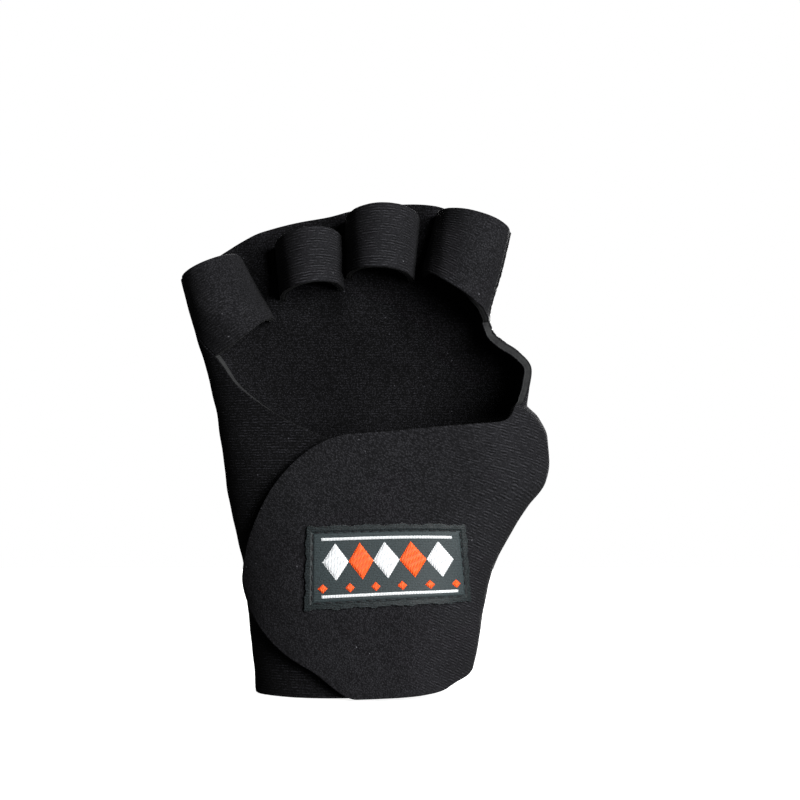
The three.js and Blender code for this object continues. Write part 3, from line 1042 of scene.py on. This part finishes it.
@dataclass(frozen=True)
class BandFoot:
    """A foot of a finger band: x and z at the band's lower and upper edge, and its Bezier handles there."""

    z: Pair
    reach: Pair
    rise: Pair
    x: Pair = (0.0, 0.0)
    on: FootPlace = FootPlace.PALM
    clear: float = 0.4

    def place(self, v: Array) -> tuple[Array, Array]:
        """Where the foot stands, and the way that the band leaves it.

        Args:
            v: share of the band's width.

        Returns:
            Points, and unit vectors along the cloth.
        """
        z = lerp(*self.z, v)
        if self.on is FootPlace.PALM:
            x = lerp(*self.x, v)
            point = HAND.point(HAND.turn_at_x(x, z, palm=True), z) - np.array([0, self.clear, 0])
            return point, np.broadcast_to(np.array([0.0, -1.0, 0.0]), point.shape)
        if self.on is FootPlace.THUMB_SEAM:
            turn, step = SEAM(z) - SEAM_GAP_TURN / 2, -1
        else:
            turn, step = FLAP_EDGE(z - GAP) + SEAM_GAP_TURN, 1
        point = HAND.point(turn, z)
        return point, unit(HAND.point(turn + step, z) - point)

    def handle(self, v: Array) -> tuple[Array, Array]:
        """The foot and its Bezier handle, which lies forward by the reach and up by the rise.

        Args:
            v: share of the band's width.

        Returns:
            Points of the foot and of the handle.
        """
        point, forward = self.place(v)
        raised = point + forward * lerp(*self.reach, v)[..., None]
        raised[..., 2] += lerp(*self.rise, v)
        return point, raised


@dataclass
class FingerBand:
    """A band that arches over one finger, from foot to foot."""

    finger: str
    start: BandFoot
    end: BandFoot
    declared: Declared
    stretch: Rows
    rib_rise: float = 0.028
    columns: int = 110
    rows: int = 150
    waves: Rows = ((0.1, 13, 80, 0.7), (0.06, 7, 15, 2.9))

    def arch(self, t: Array, v: Array) -> Array:
        """A cubic Bezier from foot to foot for each height of the band.

        Args:
            t: share of the way round the finger.
            v: share of the band's width.

        Returns:
            Points of the inner face.
        """
        first, first_handle = self.start.handle(v)
        last, last_handle = self.end.handle(v)
        t = np.clip(t, 0, 1)[..., None]
        s = 1 - t
        return s**3 * first + 3 * s * s * t * first_handle + 3 * s * t * t * last_handle + t**3 * last

    def mesh(self) -> MeshData:
        """The band's wall.

        Returns:
            The closed wall.
        """
        u, v = np.meshgrid(crowded(self.columns, 0.3), crowded(self.rows, 0.2))
        inner = self.arch(u, v)
        across = np.broadcast_to(arc_along(inner, 0).mean(axis=1, keepdims=True), u.shape)
        stretch = Curve(self.stretch)(u)
        lie = np.stack([arc_along(inner, 1), across, stretch], axis=-1)
        normal = facing(self.arch, np.clip(u, 1e-3, 1 - 1e-3), v, 1e-3)
        fade = smooth_step(u, 0, 0.15) * smooth_step(1 - u, 0, 0.15)
        soft = (undulation(lie, self.waves) * fade)[..., None]
        ribs = 1 - np.cos(2 * math.pi * across / RIB_PITCH)
        # Each rib is broken every 2 pi / 2.9 mm, and the breaks drift from rib to rib
        drift = 2.2 * np.sin(lie[..., 0] * 0.31 + 1.3) + across * 4.3
        broken = np.clip(0.3 + 0.9 * np.sin(lie[..., 0] * 2.9 + drift), 0, 1)
        wall = BAND_WALL + self.rib_rise * stretch * ribs * broken
        return closed_wall(inner + normal * soft, normal, wall, lie, CutEdge())

    def build(self, jersey: Material, foam: Material) -> None:
        name, node = f"{self.finger}_band_cloth", f"{self.finger}_finger_band"
        self.declared.tell(place_piece(self.mesh(), name, [jersey, foam], node=node))


def finger_bands() -> list[FingerBand]:
    """The four bands, from the little finger to the index finger."""
    return [
        FingerBand(
            "little",
            BandFoot((106.8, 131), (14, 18), (7.6, 3), on=FootPlace.LITTLE_SEAM),
            BandFoot((117.8, 137.4), (25, 22), (1, 2), x=(-29.6, -40.4)),
            Declared((0.045, 0.024), 0.00105),
            ((0, 0.55), (0.3, 0.4), (0.55, 0.2), (1, 0.2)),
        ),
        FingerBand(
            "ring",
            BandFoot((125, 142), (27, 25), (4, 3.6), x=(-23.9, -25.4)),
            BandFoot((128.2, 143.4), (27, 25), (4, 6.6), x=(-7.3, -7.5)),
            Declared((0.05, 0.0165), 0.00081),
            ((0, 0.85), (0.5, 0.75), (1, 0.75)),
        ),
        FingerBand(
            "middle",
            BandFoot((132, 150), (28, 25), (3.6, 5), x=(-2.3, -2.6)),
            BandFoot((131, 150.4), (28, 25), (4, 5.6), x=(15.6, 17.4)),
            Declared((0.053, 0.0185), 0.00097),
            ((0, 0.85), (0.5, 0.75), (1, 0.45)),
        ),
        FingerBand(
            "index",
            BandFoot((132.4, 151.6), (25, 22), (3.6, 3.4), x=(22, 27)),
            BandFoot((117.4, 146.4), (16, 18), (5.6, 3.8), on=FootPlace.THUMB_SEAM),
            Declared((0.045, 0.026), 0.00105),
            ((0, 1), (0.36, 0.95), (0.52, 0.35), (1, 0.25)),
        ),
    ]


@dataclass
class HookTape:
    """The hook tape between the flap and the strap's round end, almost wholly hidden."""

    columns: int = 50
    rows: int = 80
    x: Pair = (-25, -5)
    z: Pair = (21, 62)
    declared: Declared = Declared((0.021, 0.041), 0.00085, "laid", ("palm_cloth",))

    def mesh(self) -> MeshData:
        """A thin wall over the flap.

        Returns:
            The closed wall.
        """
        u, v = np.meshgrid(crowded(self.columns), crowded(self.rows))
        z = lerp(*self.z, v)
        turn = HAND.turn_at_x(lerp(*self.x, u), z)
        inner = outside(HAND.point, turn, z, SHEET_WALL + GAP)
        lie = np.stack([arc_along(inner, 1), z, np.zeros_like(z)], axis=-1)
        edge = CutEdge(corner=0.15, sink=0.02)
        return closed_wall(inner, facing(HAND.point, turn, z), PATCH_WALL, lie, edge)

    def build(self, tape: Material) -> None:
        self.declared.tell(place_piece(self.mesh(), "hook_tape", [tape, tape], "hook_patch"))


@dataclass
class WovenLabel:
    """The satin label sewn on the strap: a ground with a wavy edge and a stitched groove, and raised yarn.

    Its design is a plain row of lozenges between two lines, with no lettering. x, z and half are the
    place, middle height and half height of its left and right ends, as seen from the front.
    """

    strap: WristStrap
    x: Pair = (-14.6, 31.4)
    z: Pair = (40.2, 42.2)
    half: Pair = (12.8, 12.0)
    width: float = 49.5
    height: float = 24.8
    columns: int = 260
    rows: int = 140
    base: float = SHEET_WALL + 0.12
    wall: float = 0.75
    groove_in: float = 1.9
    groove_depth: float = 0.34
    groove_half: float = 0.36
    motif_pitch: float = 7.9
    motif_t: float = 14.0
    motif: Pair = (7.7, 10.8)
    dot_t: float = 6.1
    dot: Pair = (2.5, 2.5)
    line_t: Pair = (20.9, 3.7)
    line_in: float = 4.8
    line_wide: float = 0.62
    yarn_step: float = 0.11
    declared: Declared = Declared((0.0495, 0.0248), 0.00122, "laid", ("strap_cloth",))

    def at(self, s: Array, t: Array, height: Numbers) -> Array:
        """A point of the label.

        Args:
            s, t: millimetres from its lower left corner.
            height: millimetres above the strap's inner face.

        Returns:
            Points (..., 3).
        """
        u, v = s / self.width, t / self.height
        z = lerp(*self.z, u) + (2 * v - 1) * lerp(*self.half, u)
        left, right = (HAND.turn_at_x(x, z) for x in self.x)
        return outside(self.strap.inner_point, lerp(left, right, u), z, height)

    def inside(self, s: Array, t: Array) -> Array:
        """Millimetres inside the label's edge."""
        return np.minimum(np.minimum(s, self.width - s), np.minimum(t, self.height - t))

    def thickness(self, s: Array, t: Array) -> Array:
        """The ground's wall: less a soft groove at a fixed distance inside the edge, plus puckers.

        Args:
            s, t: millimetres from the label's lower left corner.

        Returns:
            Millimetres.
        """
        inside = self.inside(s, t)
        away = np.abs(inside - self.groove_in) / self.groove_half
        groove = self.groove_depth * np.exp(-(away**2))
        ripple = np.sin(s * 1.27 + 1.6 * np.sin(t * 0.41)) * np.sin(t * 1.51 + 0.6 + np.sin(s * 0.33))
        pucker = 0.045 * ripple * smooth_step(-inside, -3.2, -0.4)
        return self.wall - groove + pucker

    def wall_of(self, s: Array, t: Array, low: Numbers, high: Array) -> MeshData:
        """A closed piece on the label between two heights above the strap's inner face.

        Args:
            s, t: millimetres from the label's lower left corner.
            low, high: the heights.

        Returns:
            The closed wall, whose stretch marks the border outside the groove.
        """
        inner = self.at(s, t, low)
        rise = self.at(s, t, high) - inner
        # This border mask darkens the satin: partly its own weave, partly painted shade along the label's
        # edge.
        border = 1 - smooth_step(self.inside(s, t), self.groove_in - 0.3, self.groove_in + 0.5)
        lie = np.stack([s, t, border], axis=-1)
        edge = CutEdge(corner=0.1, sink=0.0, crown=0.02)
        return closed_wall(inner, unit(rise), np.linalg.norm(rise, axis=-1), lie, edge)

    def ground(self) -> MeshData:
        """The ground, whose edge wavers by up to 0.4 mm as frayed woven edges do.

        Returns:
            The closed wall.
        """
        u, v = np.meshgrid(crowded(self.columns, 0.2), crowded(self.rows, 0.2))
        s, t = u * self.width, v * self.height
        stray_s = 0.2 * np.sin(t * 0.73) + 0.13 * np.sin(t * 1.9 + 1) + 0.05 * np.sin(t * 5.3)
        stray_t = 0.2 * np.sin(s * 0.61 + 2) + 0.13 * np.sin(s * 1.67) + 0.05 * np.sin(s * 4.9 + 1)
        s = s + stray_s * (2 * u - 1) ** 9
        t = t + stray_t * (2 * v - 1) ** 9
        return self.wall_of(s, t, self.base, self.base + self.thickness(s, t))

    def lozenges(self, steps: tuple[float, ...], t: float, size: Pair, rise: float) -> list[MeshData]:
        """A row of filled lozenges, spaced by the pitch from the label's middle.

        Args:
            steps: each one's place, in pitches.
            t: how high the row lies on the label.
            size: width and height of each.
            rise: how far each stands out of the ground.

        Returns:
            Their meshes.
        """
        return [self.lozenge(self.width / 2 + self.motif_pitch * step, t, *size, rise) for step in steps]

    def lozenge(self, s: float, t: float, wide: float, tall: float, rise: float) -> MeshData:
        """A filled lozenge: a square turned on its corner, domed, with a ridge for each yarn.

        Args:
            s, t: its middle on the label.
            wide, tall: its size.
            rise: how far it stands out of the ground.

        Returns:
            The closed mesh.
        """
        across = np.linspace(-1, 1, max(12, int(wide / self.yarn_step)))
        a, b = np.meshgrid(across, across)
        at_s = s + wide / 4 * (a + b)
        at_t = t + tall / 4 * (b - a)
        dome = (1 - a**8) * (1 - b**8)
        yarn = 0.11 * np.abs(np.cos(math.pi * (at_s + 0.25 * at_t) / 0.5))
        floor = self.base + self.wall
        return self.wall_of(at_s, at_t, floor + 0.02, floor + 0.08 + rise * dome + yarn * dome)

    def line(self, t: float, rise: float = 0.2) -> MeshData:
        """A line of short satin stitches across its run: a long domed strip with a ridge for each yarn.

        Args:
            t: how high it lies on the label.
            rise: how far it stands out of the ground.

        Returns:
            The closed mesh.
        """
        start, end = self.line_in, self.width - self.line_in
        a, b = np.meshgrid(np.linspace(0, 1, int((end - start) / self.yarn_step)), np.linspace(-1, 1, 9))
        at_s = lerp(start, end, a)
        at_t = t + self.line_wide / 2 * b
        dome = np.sqrt(1 - 0.96 * b * b)
        yarn = 0.06 * np.abs(np.cos(math.pi * (at_s + 0.6 * at_t) / 0.48)) * dome
        floor = self.base + self.wall
        return self.wall_of(at_s, at_t, floor + 0.02, floor + 0.04 + rise * dome + yarn)

    def stitches(self) -> MeshData:
        """A run of black lockstitches along the groove: 2.1 mm long, 0.9 mm apart.

        Returns:
            The stitches' mesh.
        """
        inset, pitch, length = self.groove_in, 3.0, 2.1
        wide, tall = self.width - 2 * inset, self.height - 2 * inset
        along_s = np.arange(inset + 0.5, self.width - inset - length, pitch)
        along_t = np.arange(inset + 0.5, self.height - inset - length, pitch)
        rows = [(along_s, np.full_like(along_s, inset)), (along_s, np.full_like(along_s, inset + tall))]
        sides = [(np.full_like(along_t, inset), along_t), (np.full_like(along_t, inset + wide), along_t)]
        start_s, start_t = np.concatenate([np.stack(pair) for pair in rows + sides], axis=1)
        runs_up = np.repeat([0.0, 1.0], [2 * len(along_s), 2 * len(along_t)])
        end_s, end_t = start_s + length * (1 - runs_up), start_t + length * runs_up
        floor = self.base + self.wall - self.groove_depth
        starts, ends = self.at(start_s, start_t, floor), self.at(end_s, end_t, floor)
        up = self.at(start_s, start_t, floor + 1) - starts
        return thread_stitches(starts, ends, up, 0.2, 0.16)

    def build(self, satin: Material, pale: Material, warm: Material, black: Material) -> None:
        """Args:
            satin: the ground's finish.
            pale, warm: the two embroidery yarns.
            black: the sewing thread.
        """
        ground = place_piece(self.ground(), "label_ground", [satin, satin], "woven_label")
        large = self.lozenges((-2, -1, 0, 1, 2), self.motif_t, self.motif, 0.3)
        small = self.lozenges((-2.5, -1.5, -0.5, 0.5, 1.5, 2.5), self.dot_t, self.dot, 0.22)
        white = joined([*large[::2], *(self.line(t) for t in self.line_t)])
        orange = joined([*large[1::2], *small])
        trim = [
            place_piece(white, "label_white_yarn", [pale, pale]),
            place_piece(orange, "label_orange_yarn", [warm, warm]),
            place_piece(self.stitches(), "label_stitches", [black]),
        ]
        self.declared.tell(ground, with_pieces=trim)


@dataclass
class SeamStitching:
    """Black thread over the seams: zigzag where two edges meet, and straight runs behind the webs."""

    pitch: float = 1.5
    half: float = 1.7
    radius: float = 0.13
    bow: float = 0.1
    run_pitch: float = 3.0
    stitch: float = 2.2
    seams: Rows = ((11, 68), (105, 145))

    def zigzag(self, low: float, high: float) -> MeshData:
        """Stitches that cross the thumb side's seam to and fro as they climb it.

        Args:
            low, high: the heights between which it is sewn.

        Returns:
            The stitches' mesh.
        """
        z = np.arange(low, high, self.pitch)
        turn = SEAM(z)
        side = np.where(np.arange(len(z)) % 2 == 0, 1.0, -1.0) * self.half
        across = unit(HAND.point(turn + 0.05, z) - HAND.point(turn - 0.05, z))
        up = facing(HAND.point, turn, z)
        holes = HAND.point(turn, z) + up * (SHEET_WALL - 0.06) + across * side[:, None]
        return thread_stitches(holes[:-1], holes[1:], up[:-1], self.radius, self.bow)

    def run(self, web: tuple[float, ...]) -> MeshData:
        """Straight lockstitches up the palm along a web's ridge, 2.2 mm long and 0.8 mm apart.

        Args:
            web: the ridge, as the hand's form gives it.

        Returns:
            The stitches' mesh.
        """
        z = np.arange(web[1] + 2, web[3] - 1, self.run_pitch)
        starts, up = self.on_palm(web, z)
        ends, _ = self.on_palm(web, z + self.stitch)
        return thread_stitches(starts, ends, up, self.radius, self.bow)

    def on_palm(self, web: tuple[float, ...], z: Array) -> tuple[Array, Array]:
        """Points on the palm sheet's outer face along a web's ridge, and its normals there.

        Args:
            web: the ridge.
            z: heights.

        Returns:
            Points and unit vectors (..., 3).
        """
        turn = HAND.turn_at_x(HAND.web_x(web, z), z, palm=True)
        up = facing(HAND.point, turn, z)
        return HAND.point(turn, z) + up * (SHEET_WALL + 0.08), up

    def build(self, black: Material) -> None:
        """Builds all the glove's stitches as one piece, in black thread."""
        sewn = [self.zigzag(*seam) for seam in self.seams] + [self.run(web) for web in HAND.webs]
        place_piece(joined(sewn), "seam_thread", [black])


# Studio


@dataclass(frozen=True)
class SoftLight:
    """A square soft box, aimed at a point."""

    name: str
    place: Place
    aim: Place
    side: float
    watts: float

    def build(self) -> None:
        """Adds the light, turned to its aim."""
        data = bpy.data.lights.new(self.name, "AREA")
        data.size = self.side
        data.energy = self.watts
        light = bpy.data.objects.new(self.name, data)
        light.location = self.place
        toward = [a - b for a, b in zip(self.aim, self.place)]
        light.rotation_euler = Vector(toward).to_track_quat("-Z", "Y").to_euler()
        light.visible_camera = False
        bpy.context.scene.collection.objects.link(light)


@dataclass
class Studio:
    """A pale floor and backdrop, a key light from the upper right, a back light, and the camera.

    The camera takes the photograph's view. The floor and backdrop glow by themselves and throw no light
    on the glove, so its dark sides stay dark.
    """

    eye: Place = (0.0131, -0.700, 0.0923)
    field: float = 0.256
    floor_z: float = -0.0006
    floor_half: float = 0.5
    backdrop_away: float = 3.0
    sky: float = 0.07
    film: float = 36.0
    lights: tuple[SoftLight, ...] = (
        SoftLight("key", (0.74, -1.04, 0.36), (0.0, 0.0, 0.08), 0.7, 39.0),
        SoftLight("back", (0.1, 1.2, 0.4), (0.0, 0.0, 0.08), 0.8, 72.0),
    )

    def stage_piece(self, name: str, corners: list[Place], glow: float, paper: str) -> None:
        """Adds a flat or boxed piece of the stage, which only the camera sees.

        Args:
            name: its name.
            corners: the corners of its quads, four at a time.
            glow: its own light.
            paper: its paper's colour, which takes the shadows.
        """
        mesh = bpy.data.meshes.new(name)
        quads = [tuple(range(i, i + 4)) for i in range(0, len(corners), 4)]
        mesh.from_pydata(corners, [], quads)
        mesh.materials.append(StudioPaper(name, paper, glow).make())
        piece = bpy.data.objects.new(name, mesh)
        piece.visible_diffuse = False
        piece.visible_glossy = False
        piece.visible_shadow = False
        bpy.context.scene.collection.objects.link(piece)

    def build(self) -> None:
        """Adds the floor, the backdrop, the world, the lights and the camera."""
        half, z, away = self.floor_half, self.floor_z, self.backdrop_away
        floor = [(-half, -half, z), (half, -half, z), (half, half, z), (-half, half, z)]
        self.stage_piece("studio_floor", floor, 0.88, "#aaaaaa")
        signs = ((-1, -1), (1, -1), (1, 1), (-1, 1))
        walls = []
        for (ax, ay), (bx, by) in zip(signs, signs[1:] + signs[:1]):
            a, b = (ax * away, ay * away), (bx * away, by * away)
            walls += [(*a, -away), (*a, away), (*b, away), (*b, -away)]
        for height in (-away, away):
            walls += [(x * away, y * away, height) for x, y in signs]
        self.stage_piece("studio_backdrop", walls, 1.0, "#000000")

        world = bpy.data.worlds.new("studio_sky")
        world.use_nodes = True
        sky = world.node_tree.nodes["Background"]
        sky.inputs["Color"].default_value = (1, 1, 1, 1)
        sky.inputs["Strength"].default_value = self.sky
        bpy.context.scene.world = world
        for light in self.lights:
            light.build()

        data = bpy.data.cameras.new("camera")
        data.sensor_width = self.film
        data.lens = self.film * -self.eye[1] / self.field
        data.clip_start, data.clip_end = 0.05, 50.0
        camera = bpy.data.objects.new("camera", data)
        camera.location = self.eye
        camera.rotation_euler = (math.pi / 2, 0, 0)
        bpy.context.scene.collection.objects.link(camera)
        bpy.context.scene.camera = camera
        bpy.context.scene.view_settings.view_transform = "Standard"


def main() -> None:
    """Builds the glove's sub-assemblies in order, and the studio round them."""
    logging.basicConfig(level=logging.INFO, format="%(name)s %(message)s")
    jersey = NylonJersey("black_jersey").make()
    # The palm sheet's jersey is the same black jersey drawn darker: painted shade on the little finger's
    # side, the flap and the palm's inside between the fingers.
    shaded_palm_jersey = NylonJersey("painted_shade_black_jersey", "#020203", "#0c0c0d", "#2a2a2e", "#3a3a3e").make()
    foam = ChloropreneFoam().make()
    sewing = WovenYarn("black_thread", "#060607", "#1b1b1e", 0.25, depth=0.00003, sheen=0.04, gloss=0.25)
    tape = WovenYarn("hook_tape", "#0b0b0c", "#1d1d1f", 0.6, depth=0.0002)
    satin = WovenYarn("label_satin", "#070a0b", "#343d3f", 0.5, 90.0, 0.00012, gloss=0.2, fluff=0.86)
    white = WovenYarn("white_yarn", "#9a9fa2", "#e9ebec", 0.45, depth=0.00012)
    orange = WovenYarn("orange_yarn", "#a82c06", "#fb6212", 0.45, depth=0.00012)
    black = sewing.make()

    # The palm sheet takes the darker jersey, whose darkness is painted shade.
    PalmSheet().build(shaded_palm_jersey, foam)
    strap = WristStrap()
    strap.build(jersey, foam)
    for band in finger_bands():
        band.build(jersey, foam)
    SeamStitching().build(black)
    HookTape().build(tape.make())
    WovenLabel(strap).build(satin.make(), white.make(), orange.make(), black)
    Studio().build()


if __name__ == "__main__":
    main()
